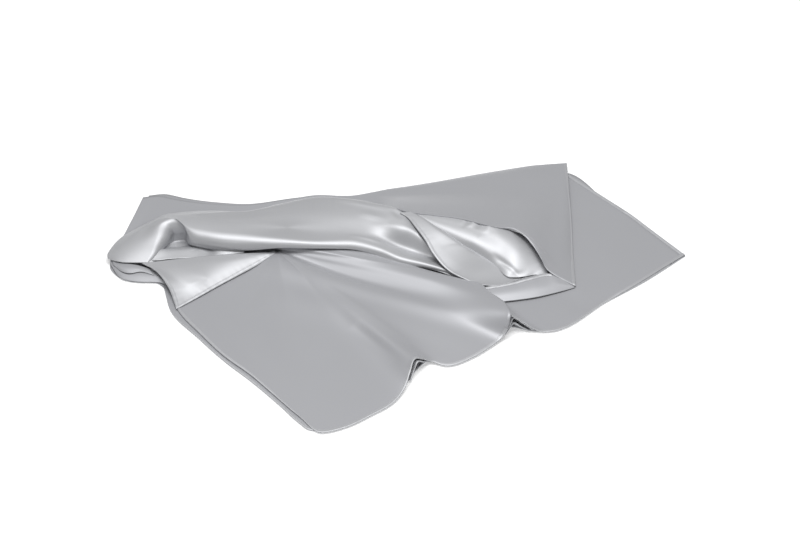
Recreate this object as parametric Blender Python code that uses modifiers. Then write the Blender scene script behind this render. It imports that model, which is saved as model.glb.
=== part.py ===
"""A square silk head scarf that has been dropped in loose folds on a flat surface.

One cloth, satin on its face and matt on its back, lies doubled with its satin inside. Its near corner
spreads towards the viewer as a flap with two waves in its hem, its right end lies flat and is turned back
over itself, and between them the satin inside is gathered into a soft roll that opens on the right as a
pouch. Each stretch of cloth that shows is a wall of its own, and the layers that don't show share one
rounded core.

Tables are in millimetres on the layout plane: x to the right, y away from the viewer, z up from the
surface. Each point is on the outer side of its cloth, and a wall grows inwards from there.
"""

from collections import namedtuple

import bmesh
import bpy
import numpy as np
from mathutils import Vector
from mathutils.bvhtree import BVHTree

MM = 0.001
WALL = 1.0
SEAM = 0.3
LYING = WALL + SEAM + WALL
LAYOUT_CENTRE = Vector((-4.5, -59.65, 0.0))

FOLD_RADIUS = 2.7
GATHER_START = 0.05
CORE_CLEARANCE = 0.6
CORE_THINNEST = 0.8
CORE_POINTS_ACROSS = 17
CORE_REACH = (-18, -12, -6, 0, 6, 12, 18)
CORE_TOP_LIMIT = 60.0

Finish = namedtuple("Finish", "name colour roughness")
SATIN = Finish("silk_satin_face", (0.62, 0.63, 0.65), 0.3)
MATT = Finish("silk_satin_back", (0.42, 0.42, 0.44), 0.6)

HemPoint = namedtuple("HemPoint", "x y z halfway_z")
StripSection = namedtuple("StripSection", "crease swell fall hem")
Roll = namedtuple("Roll", "outer crest dip brow lip tuck")
PanelSection = namedtuple("PanelSection", "crest slope foot flat middle edge")
BackSection = namedtuple("BackSection", "front upper lower back")
LiningSection = namedtuple("LiningSection", "rim slope valley tucked")
BulgeSection = namedtuple("BulgeSection", "valley face crest top")
FoldSection = namedtuple("FoldSection", "back top front")
WaveSection = namedtuple("WaveSection", "left_foot rise crest slope right_foot")
CoreStation = namedtuple("CoreStation", "x front back")

# The cloth's shadow on the floor: the lower layer, from the left bend along the near hem to the right corner
# and back along the far edge.
LOWER_OUTLINE = [
    (-417, -2), (-403, -29), (-381, -38), (-346, -39), (-334, -62), (-328, -98), (-280, -170),
    (-242, -219), (-206, -259), (-163, -312), (-135, -349), (-122, -362), (-104, -364), (-74, -355),
    (-40, -331), (-10, -305), (4, -280), (14, -254), (30, -230), (65, -225), (104, -206), (126, -185),
    (143, -160), (158, -141), (185, -150), (204, -151), (249, -122), (291, -87), (347, -42), (416, 24),
    (380, 75), (320, 158), (262, 236), (182, 231), (112, 210), (40, 190), (-79, 152), (-164, 145),
    (-231, 133), (-276, 137), (-351, 155), (-376, 164), (-389, 125), (-397, 90), (-410, 50), (-421, 20),
]

# The near flap fans out from the place where the roll gathers it. Its edge runs from the left hem round the
# near corner and both waves, then back along the fold behind the second wave.
FLAP_GATHER = (-176, 17, 14)
FLAP_EDGE = [
    HemPoint(-326, -74, LYING, 6),
    HemPoint(-316, -103, LYING, 6),
    HemPoint(-280, -159, LYING, 5),
    HemPoint(-243, -209, LYING, 5),
    HemPoint(-206, -248, LYING, 5),
    HemPoint(-175, -287, LYING, 5),
    HemPoint(-135, -337, LYING, 5),
    HemPoint(-105, -369, LYING, 5),
    HemPoint(-74, -359, LYING, 5),
    HemPoint(-40, -335, LYING, 5),
    HemPoint(-7, -306, 3.0, 5),
    HemPoint(7, -280, 6.0, 6),
    HemPoint(14, -257, 14, 9),
    HemPoint(21, -237, 22, 12),
    HemPoint(41, -229, 10, 11),
    HemPoint(65, -228, 2.8, 8),
    HemPoint(104, -209, 2.5, 7),
    HemPoint(125, -190, 3.5, 9),
    HemPoint(140, -174, 8.0, 13),
    HemPoint(149, -162, 17, 18),
    HemPoint(156, -149, 29, 21),
    HemPoint(152, -129, 28, 22),
    HemPoint(141, -104, 23, 22),
    HemPoint(127, -85, 20, 21),
    HemPoint(114, -70, 18, 20),
    HemPoint(89, -57, 15, 18),
    HemPoint(62, -48, 11, 16),
]

# The satin strip turned down over the left of the flap, from its far left corner to the gather.
TURNED_STRIP = [
    StripSection((-373, -9, 11), (-356, -22, 10), (-330, -62, 7), (-317, -104, 4.5)),
    StripSection((-346, -3, 10.5), (-329, -30, 14), (-304, -60, 12), (-286, -78, 6.5)),
    StripSection((-290, 6, 11), (-283, -12, 15), (-270, -36, 14), (-258, -53, 9)),
    StripSection((-250, 11, 12.5), (-245, -3, 15), (-238, -18, 14.5), (-230, -30, 11)),
    StripSection((-214, 13, 14), (-211, 6, 15), (-206, 0, 15), (-201, -6, 14)),
    StripSection((-184, 15, 15.5), (-183, 14, 15.5), (-182, 13, 15.5), (-181, 12, 15.5)),
]

# The right panel, from the fold behind the second wave out to its right edge, and from its hem to the far
# edge. Points given by x and y alone lie on the lower layer.
RIGHT_PANEL = [
    PanelSection((159, -148, 29), (171, -151, 18), (185, -155, 5), (204, -154), (297, -83), (415, 25)),
    PanelSection((155, -129, 27), (164, -131, 15), (173, -133, 4.5), (190, -133), (290, -60), (402, 43)),
    PanelSection((144, -103, 22), (151, -104, 12), (157, -106, 4), (170, -106), (280, -30), (386, 65)),
    PanelSection((130, -84, 18), (135, -84, 11), (141, -84, 4), (150, -84), (262, 0), (368, 90)),
    PanelSection((117, -67, 13), (120, -65, 8), (125, -63, 3.5), (132, -60), (240, 40), (345, 122)),
    PanelSection((100, -30), (104, -28), (110, -26), (120, -20), (220, 90), (311, 171)),
    PanelSection((120, 196), (124, 198), (130, 200), (140, 203), (195, 220), (264, 235)),
]

# The satin roll, from its left end, where it turns round a hollow, along to where it goes under the pouch.
SATIN_ROLL = [
    Roll((-424, 8, 8), (-408, -4, 12), (-388, -7, 13.3), (-371, -7, 13.3), (-360, -5, 13), (-351, -1, 12.6)),
    Roll((-425, 16, 10), (-409, 14, 16), (-385, 13, 22), (-363, 12, 26), (-354, 14, 17), (-346, 6, 12)),
    Roll((-421, 31, 10), (-404, 25, 18), (-381, 28, 25), (-357, 29, 32), (-347, 28, 20), (-333, 12, 12)),
    Roll((-415, 45, 11), (-395, 39, 19), (-372, 45, 27), (-351, 48, 36), (-340, 45, 22), (-321, 20, 12)),
    Roll((-404, 58, 12), (-383, 57, 20), (-362, 61, 30), (-341, 61, 39), (-330, 52, 24), (-309, 28, 12)),
    Roll((-380, 84, 12), (-364, 79, 22), (-347, 75, 30), (-323, 52, 40), (-315, 41, 27), (-294, 32, 13)),
    Roll((-345, 120, 11), (-337, 109, 18), (-321, 75, 30), (-302, 35, 40), (-296, 29, 29), (-280, 32, 15)),
    Roll((-290, 122, 11), (-290, 101, 24), (-284, 65, 32), (-266, 22, 40), (-264, 20, 29), (-257, 26, 17)),
    Roll((-229, 113, 12), (-228, 91, 33), (-221, 62, 33), (-223, 23, 36), (-223, 18, 27), (-221, 22, 18)),
    Roll((-178, 130, 13), (-177, 108, 35), (-175, 58, 32), (-174, 17, 34), (-174, 12, 25), (-174, 18, 17.5)),
    Roll((-119, 144, 14), (-118, 122, 36), (-117, 52, 31), (-116, 16, 34), (-116, 11, 25), (-116, 18, 17.5)),
    Roll((-81, 139, 15), (-80, 115, 37), (-77, 48, 30.5), (-77, 13, 33), (-75, 7, 25), (-74, 13, 17.5)),
    Roll((-38, 127, 17), (-41, 104, 36), (-37, 50, 32), (-33, 3, 30), (-31, -4, 22.5), (-28, -2, 16)),
    Roll((-9, 97, 31), (-6, 83, 37), (-1, 49, 33), (0, -5, 27.5), (1, -13, 20), (3, -14, 14.5)),
    Roll((22, 72, 29), (20, 58, 31), (26, 25, 25), (37, -27, 21.5), (39, -35, 16.5), (42, -36, 12.5)),
    Roll((56, 40, 20), (57, 20, 17), (60, -8, 14), (63, -37, 16), (66, -43, 13.5), (69, -44, 11)),
    Roll((80, 10, 12), (82, -5, 10.5), (86, -25, 10), (90, -44, 11.5), (93, -48, 10), (96, -46, 8)),
]

# The inner fold that shows in the hollow under the roll.
HOLLOW_FOLD = [
    FoldSection((-334, 9, 9.6), (-335, 5, 10), (-336, 2, 9.4)),
    FoldSection((-313, 18, 10.5), (-314, 10, 12), (-315, 5, 9)),
    FoldSection((-286, 28, 13), (-288, 18, 15), (-290, 9, 9.5)),
    FoldSection((-258, 22, 15), (-260, 17, 16), (-262, 13, 11)),
    FoldSection((-233, 20, 16.5), (-234, 17, 16.5), (-235, 15, 13)),
]

# The matt panel behind the roll on the left, from its left edge along its far edge.
LEFT_BACK = [
    BackSection((-423, 26, 8), (-409, 53, 9), (-397, 97, 10), (-384, 157, 10)),
    BackSection((-400, 40, 8), (-385, 80, 8), (-372, 120, 8.5), (-362, 162, 9)),
    BackSection((-372, 60, 8), (-358, 90, 8), (-345, 120, 8.5), (-330, 152, 9)),
    BackSection((-290, 95, 8.5), (-284, 110, 8.5), (-280, 126, 9), (-276, 141, 9)),
    BackSection((-231, 95, 9), (-231, 109, 9), (-231, 124, 9.5), (-231, 137, 10)),
    BackSection((-164, 100, 10), (-164, 117, 10), (-164, 134, 11), (-164, 150, 12)),
    BackSection((-120, 120, 10.5), (-120, 134, 11), (-120, 147, 11.5), (-120, 160, 12)),
    BackSection((-81, 122, 11), (-81, 134, 11.5), (-81, 146, 12), (-81, 157, 12)),
]
LEFT_BACK_UNDER_SHIFT = (8, 10, -4)
LEFT_BACK_UNDER_SECTIONS = 7

# The matt panel turned back over the right end, from the roll to its own hem, each section from the pouch
# back to the far fold.
BACK_PANEL = [
    BackSection((-79, 143, 12.5), (-79, 148, 12.5), (-79, 152, 12.3), (-79, 156, 12)),
    BackSection((-40, 131, 15), (-40, 143, 13.5), (-40, 156, 12), (-40, 169, 11)),
    BackSection((-13, 103, 28), (-15, 125, 20), (-17, 152, 13), (-18, 178, 10)),
    BackSection((4, 86, 40), (6, 112, 28), (9, 148, 14), (12, 186, 9.5)),
    BackSection((44, 71, 42), (50, 105, 29), (60, 150, 14), (70, 203, 9)),
    BackSection((88, 62, 41.5), (96, 100, 29), (104, 150, 14), (112, 216, 9)),
    BackSection((141, 43, 40), (146, 90, 28), (150, 150, 14), (154, 228, 9)),
    BackSection((164, 41, 39), (170, 90, 27), (176, 150, 14), (180, 235, 9)),
    BackSection((176, 33, 37), (186, 85, 25), (194, 150, 13), (200, 240, 9)),
    BackSection((190, 16, 32), (204, 75, 20), (213, 145, 12), (221, 243, 9)),
    BackSection((203, -9, 25), (219, 55, 15), (229, 140, 10), (238, 245, 9)),
    BackSection((212, -28, 18), (235, 30, 11), (244, 130, 9), (248, 246, 9)),
    BackSection((252, -49, 6), (252, 8, 6.5), (254, 110, 7.5), (254, 247, 9)),
]

# The pouch: its near wall hangs from the rim into a valley, and its far wall bulges up from there.
POUCH_LINING = [
    LiningSection((0, 74, 42), (7, 77, 39.5), (13, 82, 35.5), (18, 88, 33.5)),
    LiningSection((12, 61, 42), (22, 63, 36), (32, 68, 30), (38, 74, 29)),
    LiningSection((23, 40, 40), (34, 46, 33), (46, 55, 26), (54, 62, 25)),
    LiningSection((36, 16, 36), (48, 24, 29), (62, 42, 22), (72, 50, 21)),
    LiningSection((46, -5, 30), (62, 6, 24), (80, 28, 17.5), (90, 36, 16)),
    LiningSection((67, -33, 19.5), (82, -20, 17), (108, 8, 12.5), (116, 16, 11)),
    LiningSection((93, -51, 15), (108, -40, 13.5), (132, -14, 9.5), (142, -6, 8.5)),
    LiningSection((114, -62, 14), (126, -52, 11), (146, -30, 8), (154, -22, 7)),
    LiningSection((138, -65, 15), (144, -60, 10), (154, -47, 7.5), (164, -38, 6.5)),
    LiningSection((157, -57, 16.5), (161, -53, 11), (168, -46, 8), (176, -38, 7)),
    LiningSection((186, -46, 18), (188, -43, 13), (192, -38, 9.5), (198, -30, 8)),
    LiningSection((212, -36, 17.5), (212, -34, 15), (213, -31, 12.5), (214, -28, 11)),
]
POUCH_BULGE = [
    BulgeSection((17, 81, 37), (14, 83, 37.5), (11, 86, 37), (8, 89, 35.5)),
    BulgeSection((45, 57, 28), (46, 62, 35), (47, 69, 38), (46, 78, 37.2)),
    BulgeSection((80, 31, 20), (84, 38, 32), (88, 49, 38), (89, 69, 37)),
    BulgeSection((113, 10, 14.5), (117, 17, 28), (120, 30, 36.5), (118, 60, 36.5)),
    BulgeSection((138, -13, 11), (142, -7, 22), (148, 8, 33), (144, 50, 35.5)),
    BulgeSection((158, -38, 9), (165, -29, 16), (170, -6, 28), (168, 42, 34)),
    BulgeSection((178, -36, 9.5), (186, -28, 14), (191, -9, 21), (188, 26, 29)),
    BulgeSection((196, -31, 10.5), (202, -26, 13), (205, -12, 16), (204, 8, 20)),
]
# The matt strip below the pouch's rim, from behind the second wave to the panel's front corner.
POUCH_LIP = [
    FoldSection((128, -69, 11.5), (138, -77, 9), (149, -85, 6.5)),
    FoldSection((157, -61, 13.5), (163, -72, 10), (170, -83, 5.5)),
    FoldSection((186, -50, 15), (190, -63, 10.5), (195, -78, 5)),
    FoldSection((213, -40, 14), (217, -54, 9), (221, -68, 5)),
    FoldSection((249, -52, 5), (250, -53, 4.6), (251, -54, 4.2)),
]

# The bends where the doubled cloth turns round at the left end, the outer one below the inner one.
LEFT_BENDS = {
    "left_bend_outer": [
        FoldSection((-416, 8, 6), (-420, 3, 5), (-417, -4, 2.4)),
        FoldSection((-405, -6, 7), (-408, -17, 5.5), (-404, -29, 2.4)),
        FoldSection((-384, -12, 7.5), (-383, -26, 6), (-381, -39, 2.4)),
        FoldSection((-360, -18, 7), (-354, -30, 5.5), (-347, -41, 2.4)),
        FoldSection((-338, -32, 5), (-336, -39, 4.5), (-335, -46, 2.4)),
    ],
    "left_bend_inner": [
        FoldSection((-412, 3, 9.1), (-416, -1, 8.3), (-414, -6, 7)),
        FoldSection((-401, -6, 10.5), (-404, -14, 9.5), (-400, -22, 7.2)),
        FoldSection((-391, -8, 11), (-390, -17, 10.2), (-388, -26, 7.8)),
        FoldSection((-380, -10, 10.5), (-377, -17, 9.8), (-374, -23, 8.2)),
    ],
}

# The lower layer's hem waves too, and shows as nested arches in the mouth of each wave of the flap.
WAVE_LAYERS = {
    "first_wave_layer": [
        WaveSection((15, -255, 2.4), (19, -245, 8), (26, -236, 16), (36, -232, 7), (44, -231, 2.6)),
        WaveSection((-6, -226, 2.4), (-2, -217, 6), (4, -209, 11), (13, -205, 6), (21, -203, 2.6)),
    ],
    "second_wave_layer": [
        WaveSection((144, -164, 2.4), (152, -156, 12), (160, -146, 22), (171, -148, 12), (181, -151, 2.6)),
        WaveSection((114, -142, 2.4), (121, -134, 10), (129, -124, 17), (138, -125, 9), (146, -127, 2.4)),
    ],
    "second_wave_inner_layer": [
        WaveSection((148, -160, 2.4), (153, -154, 8), (159, -148, 14), (166, -149, 8), (172, -151, 2.4)),
        WaveSection((124, -138, 2.4), (128, -132, 6), (133, -126, 9), (137, -127, 5), (141, -129, 2.4)),
    ],
}

# How far the hidden layers reach from front to back under the folds.
CORE_STATIONS = [
    CoreStation(-392, 22, 100),
    CoreStation(-360, 12, 140),
    CoreStation(-320, -34, 136),
    CoreStation(-280, -26, 124),
    CoreStation(-240, -6, 122),
    CoreStation(-200, 14, 126),
    CoreStation(-160, -12, 130),
    CoreStation(-120, -34, 142),
    CoreStation(-80, -70, 145),
    CoreStation(-40, -86, 154),
    CoreStation(0, -96, 168),
    CoreStation(40, -100, 180),
    CoreStation(66, -92, 188),
    CoreStation(92, -34, 198),
    CoreStation(118, -14, 206),
    CoreStation(160, 0, 214),
    CoreStation(200, 20, 222),
    CoreStation(236, 60, 226),
]


def in_world(point):
    """A layout point in millimetres, in metres about the scarf's own centre."""
    return (Vector(point) - LAYOUT_CENTRE) * MM


def smooth(rows, per_span):
    """Points on a smooth curve through the rows, which never swings past them, per_span to each stretch."""
    rows = np.asarray(rows, dtype=float)
    spans = len(rows) - 1
    lengths = np.linalg.norm(np.diff(rows, axis=0), axis=-1).reshape(spans, -1).mean(axis=1)
    knots = np.concatenate([[0.0], np.cumsum(lengths)])
    widths = lengths.reshape((-1,) + (1,) * (rows.ndim - 1))
    climbs = np.diff(rows, axis=0) / widths
    slopes = np.gradient(rows, knots, axis=0)
    limits = 3 * np.minimum(abs(climbs[:-1]), abs(climbs[1:]))
    turns_back = climbs[:-1] * climbs[1:] <= 0
    slopes[1:-1] = np.where(turns_back, 0, np.clip(slopes[1:-1], -limits, limits))
    at = np.linspace(0, spans, spans * per_span + 1)
    span = np.minimum(at.astype(int), spans - 1)
    s = (at - span).reshape((-1,) + (1,) * (rows.ndim - 1))
    start = rows[span] * (1 + 2 * s) * (1 - s) ** 2 + slopes[span] * widths[span] * s * (1 - s) ** 2
    end = rows[span + 1] * s**2 * (3 - 2 * s) + slopes[span + 1] * widths[span] * s**2 * (s - 1)
    return start + end


def loft(sections, along, across):
    """A grid of points on the smooth surface through the sections, each a row of points of its own."""
    return smooth([smooth(section, across) for section in sections], along)


def turned_under(section):
    """A section that goes on round a soft fold at its far end and back beneath itself."""
    x, y, z = section[-1]
    round_fold = (x, y + FOLD_RADIUS, z - FOLD_RADIUS)
    beneath = (x, y, z - 2 * FOLD_RADIUS)
    return [*section, round_fold, beneath]


def flap_ray(hem):
    """The flap from near its gather out to one point of its edge."""
    gather = np.array(FLAP_GATHER, dtype=float)
    edge = np.array([hem.x, hem.y, hem.z], dtype=float)
    start = gather + (edge - gather) * GATHER_START
    halfway = (gather + edge) / 2
    halfway[2] = hem.halfway_z
    return [start, halfway, edge]


def laid(section):
    """A section whose points without a height lie on the lower layer."""
    return [(*point, LYING) if len(point) == 2 else point for point in section]


def shifted(section, shift):
    """A section moved as a whole."""
    return [tuple(np.add(point, shift)) for point in section]


def material(finish):
    """A plain silk material of its own for each piece."""
    cloth = bpy.data.materials.new(finish.name)
    cloth.use_nodes = True
    shader = cloth.node_tree.nodes["Principled BSDF"]
    shader.inputs["Base Color"].default_value = (*finish.colour, 1.0)
    shader.inputs["Roughness"].default_value = finish.roughness
    shader.inputs["Metallic"].default_value = 0.0
    return cloth


def add_piece(name, data, finish, collection):
    """A named object with its own material."""
    piece = bpy.data.objects.new(name, data)
    piece.data.materials.append(material(finish))
    collection.objects.link(piece)
    return piece


def grid_place(vert, rows, columns):
    """The row and column of a point of a new unit grid."""
    return round((vert.co.x + 0.5) * (rows - 1)), round((vert.co.y + 0.5) * (columns - 1))


def grid_mesh(name, points):
    """A mesh of quads through a grid of points, with its faces turned up."""
    rows, columns = points.shape[:2]
    shape = bmesh.new()
    bmesh.ops.create_grid(shape, x_segments=rows - 1, y_segments=columns - 1, size=0.5)
    for vert in shape.verts:
        vert.co = in_world(points[grid_place(vert, rows, columns)])
    shape.normal_update()
    if sum(face.normal.z * face.calc_area() for face in shape.faces) < 0:
        bmesh.ops.reverse_faces(shape, faces=shape.faces)
    mesh = bpy.data.meshes.new(name)
    shape.to_mesh(mesh)
    shape.free()
    return mesh


def wall(name, points, finish, collection):
    """A sheet of cloth whose outer side passes through the grid of points."""
    piece = add_piece(name, grid_mesh(name, points), finish, collection)
    piece.data.shade_smooth()
    cloth = piece.modifiers.new("Cloth", "SOLIDIFY")
    cloth.thickness = WALL * MM
    cloth.offset = -1
    return piece


def flat_layer(name, outline, finish, collection):
    """The layer that lies on the floor, cut to its outline."""
    curve = bpy.data.curves.new(name, "CURVE")
    curve.dimensions = "2D"
    curve.fill_mode = "BOTH"
    curve.extrude = WALL * MM / 2
    points = [in_world((x, y, 0)) for x, y in outline]
    spline = curve.splines.new("POLY")
    spline.points.add(len(points) - 1)
    for spline_point, point in zip(spline.points, points):
        spline_point.co = (point.x, point.y, 0, 1)
    spline.use_cyclic_u = True
    piece = add_piece(name, curve, finish, collection)
    piece.location.z = WALL * MM / 2
    return piece


def surface_tree(pieces):
    """The finished surfaces of some pieces, to be sounded from above or below."""
    bpy.context.view_layer.update()
    depsgraph = bpy.context.evaluated_depsgraph_get()
    vertices = []
    polygons = []
    for piece in pieces:
        mesh = piece.evaluated_get(depsgraph).to_mesh()
        first = len(vertices)
        vertices += [piece.matrix_world @ vert.co for vert in mesh.vertices]
        polygons += [[first + index for index in face.vertices] for face in mesh.polygons]
    return BVHTree.FromPolygons(vertices, polygons)


def sound(tree, x, y, from_z, direction, fallback):
    """The height at which a plumb line from from_z first meets a surface, in layout millimetres."""
    hit = tree.ray_cast(in_world((x, y, from_z)), Vector((0, 0, direction)))[0]
    return fallback if hit is None else hit.z / MM


def room_at(beds, covers, x, y):
    """The highest bed and the lowest cover within reach of a layout point."""
    around = [(x + dx, y + dy) for dx in CORE_REACH for dy in CORE_REACH]
    bed = max(sound(beds, *place, CORE_TOP_LIMIT, -1, WALL) for place in around)
    cover = min(sound(covers, *place, WALL + SEAM / 2, 1, CORE_TOP_LIMIT) for place in around)
    return bed, cover


def core_heights(bed_pieces, cover_pieces):
    """The core's upper and lower points: clear of its beds, and just under the cloth except along its rim."""
    stations = smooth([(station.x, station.front, station.back) for station in CORE_STATIONS], 2)
    beds = surface_tree(bed_pieces)
    covers = surface_tree(cover_pieces)
    lower = np.zeros((len(stations), CORE_POINTS_ACROSS, 3))
    rise = np.full((len(stations), CORE_POINTS_ACROSS), CORE_THINNEST)
    for row, (x, front, back) in enumerate(stations):
        for column, y in enumerate(np.linspace(front, back, CORE_POINTS_ACROSS)):
            bed, cover = room_at(beds, covers, x, y)
            lower[row, column] = (x, y, bed + SEAM)
            if 0 < row < len(stations) - 1 and 0 < column < CORE_POINTS_ACROSS - 1:
                rise[row, column] = max(CORE_THINNEST, cover - CORE_CLEARANCE - bed - SEAM)
    upper = lower.copy()
    upper[..., 2] += rise
    return upper, lower


def core(name, finish, bed_pieces, cover_pieces, collection):
    """The layers that don't show, as one solid between the beds they lie on and the cloth over them."""
    upper, lower = core_heights(bed_pieces, cover_pieces)
    rows, columns = upper.shape[:2]
    shape = bmesh.new()
    bmesh.ops.create_grid(shape, x_segments=rows - 1, y_segments=columns - 1, size=0.5)
    raised = set(shape.verts)
    bmesh.ops.extrude_face_region(shape, geom=shape.faces[:])
    for vert in shape.verts:
        points = upper if vert in raised else lower
        vert.co = in_world(points[grid_place(vert, rows, columns)])
    bmesh.ops.recalc_face_normals(shape, faces=shape.faces)
    mesh = bpy.data.meshes.new(name)
    shape.to_mesh(mesh)
    shape.free()
    return add_piece(name, mesh, finish, collection)


def clear_scene():
    """An empty file to build in."""
    for old in list(bpy.data.objects):
        bpy.data.objects.remove(old, do_unlink=True)


def build():
    """Every piece, from the floor up."""
    clear_scene()
    collection = bpy.data.collections.new("silk_head_scarf")
    bpy.context.scene.collection.children.link(collection)
    under = [shifted(section, LEFT_BACK_UNDER_SHIFT) for section in LEFT_BACK[:LEFT_BACK_UNDER_SECTIONS]]
    back = [turned_under(section) for section in BACK_PANEL]
    lower_layer = flat_layer("lower_layer", LOWER_OUTLINE, MATT, collection)
    right_sections = [laid(section) for section in RIGHT_PANEL]
    right_panel = wall("right_panel", loft(right_sections, 2, 2), MATT, collection)
    covers = [
        wall("front_flap", loft([flap_ray(hem) for hem in FLAP_EDGE], 2, 3), MATT, collection),
        wall("turned_strip", loft(TURNED_STRIP, 2, 3), SATIN, collection),
        wall("satin_roll", loft(SATIN_ROLL, 2, 3), SATIN, collection),
        wall("roll_hollow_fold", loft(HOLLOW_FOLD, 2, 3), SATIN, collection),
        wall("left_back_panel", loft(LEFT_BACK, 2, 2), MATT, collection),
        wall("left_back_under", loft(under, 2, 2), MATT, collection),
        wall("back_panel", loft(back, 2, 2), MATT, collection),
        wall("pouch_lining", loft(POUCH_LINING, 2, 2), SATIN, collection),
        wall("pouch_bulge", loft(POUCH_BULGE, 2, 3), SATIN, collection),
        wall("pouch_lip", loft(POUCH_LIP, 2, 3), MATT, collection),
    ]
    for name, sections in LEFT_BENDS.items():
        covers.append(wall(name, loft(sections, 2, 3), MATT, collection))
    for name, sections in WAVE_LAYERS.items():
        covers.append(wall(name, loft(sections, 3, 3), MATT, collection))
    core("hidden_layers", MATT, [lower_layer, right_panel], covers, collection)


build()
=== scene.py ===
"""A square silk satin head scarf, dropped in loose folds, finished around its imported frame, with its studio.

Tables are in millimetres on the layout plane: x to the right, y away from the viewer, z up from the floor.
Each point is on the outer side of its cloth.
"""

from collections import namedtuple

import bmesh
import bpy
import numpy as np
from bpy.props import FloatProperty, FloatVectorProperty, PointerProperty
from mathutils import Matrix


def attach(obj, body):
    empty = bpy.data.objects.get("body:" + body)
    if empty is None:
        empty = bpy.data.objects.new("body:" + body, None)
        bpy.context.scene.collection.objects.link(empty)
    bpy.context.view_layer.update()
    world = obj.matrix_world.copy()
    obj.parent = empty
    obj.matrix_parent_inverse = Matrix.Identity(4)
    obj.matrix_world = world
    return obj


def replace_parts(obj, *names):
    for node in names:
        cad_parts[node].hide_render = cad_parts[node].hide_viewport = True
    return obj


bl_info = {
    "name": "Silk Head Scarf",
    "version": (1, 0, 0),
    "blender": (4, 5, 0),
    "location": "3D View > Sidebar > Silk Scarf",
    "description": "A square silk satin head scarf dropped in loose folds",
    "category": "Add Mesh",
}

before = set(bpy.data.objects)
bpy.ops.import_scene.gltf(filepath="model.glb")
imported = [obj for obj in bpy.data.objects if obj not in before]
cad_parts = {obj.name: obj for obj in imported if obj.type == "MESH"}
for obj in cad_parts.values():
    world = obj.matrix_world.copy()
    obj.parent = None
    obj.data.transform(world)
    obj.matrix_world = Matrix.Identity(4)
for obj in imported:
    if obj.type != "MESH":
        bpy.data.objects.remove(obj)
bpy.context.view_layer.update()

MM = 0.001
# The layout's point that lies at the origin.
LAYOUT_CENTRE = np.array([-4.5, -59.65, 0.0])
# Heights of the lower layer's upper side and of cloth that lies on it, and the radius of a soft fold.
LOWER_TOP = 1.0
LYING = 2.3
FOLD_RADIUS = 2.7

SATIN = "silk_charmeuse_face"
MATT = "silk_charmeuse_crepe_back"
THREAD = "spun_polyester_thread"

# Rows of the tables: sections across each kind of stretch, soft creases, hems from one share of an edge to
# another, ripples along hems, and whole sheets.
HemPoint = namedtuple("HemPoint", "x y z quarter half three_quarters")
Strip = namedtuple("Strip", "crease swell fall hem")
Roll = namedtuple("Roll", "outer crest swell dip top radius turn floor tuck")
Panel = namedtuple("Panel", "crest slope foot flat middle edge")
Back = namedtuple("Back", "front upper lower back")
Lining = namedtuple("Lining", "rim slope valley tucked")
Bulge = namedtuple("Bulge", "valley face crest top")
Fold = namedtuple("Fold", "back top front")
Wave = namedtuple("Wave", "left_foot rise crest slope right_foot")
Crease = namedtuple("Crease", "x0 y0 x1 y1 bow width height")
Hem = namedtuple("Hem", "side first last", defaults=(0.0, 1.0))
Ripple = namedtuple("Ripple", "share pitch sway sway_pitch start")
Sheet = namedtuple("Sheet", "outer along across passes width length area rests_on hems", defaults=[()])

# The outline of the layer on the floor, from its left end round to its right corner, as x and y.
LOWER_NEAR_EDGE = [
    (-421, 12), (-420, -4), (-410, -22), (-396, -34), (-378, -39), (-352, -40), (-340, -50), (-333, -72),
    (-328, -98), (-280, -170), (-242, -219), (-206, -259), (-163, -312), (-135, -349), (-122, -362),
    (-104, -364), (-74, -355), (-40, -331), (-10, -305), (4, -280), (13, -256), (23, -236), (41, -216),
    (65, -224), (104, -206), (126, -185), (143, -160), (158, -141), (185, -150), (204, -151), (249, -122),
    (291, -87), (347, -42), (416, 24),
]
LOWER_FAR_EDGE = [
    (-421, 20), (-410, 50), (-397, 90), (-389, 125), (-376, 164), (-351, 155), (-276, 137), (-231, 133),
    (-164, 145), (-79, 152), (40, 190), (112, 210), (182, 231), (246, 234), (312, 156), (380, 75), (412, 30),
]

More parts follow.
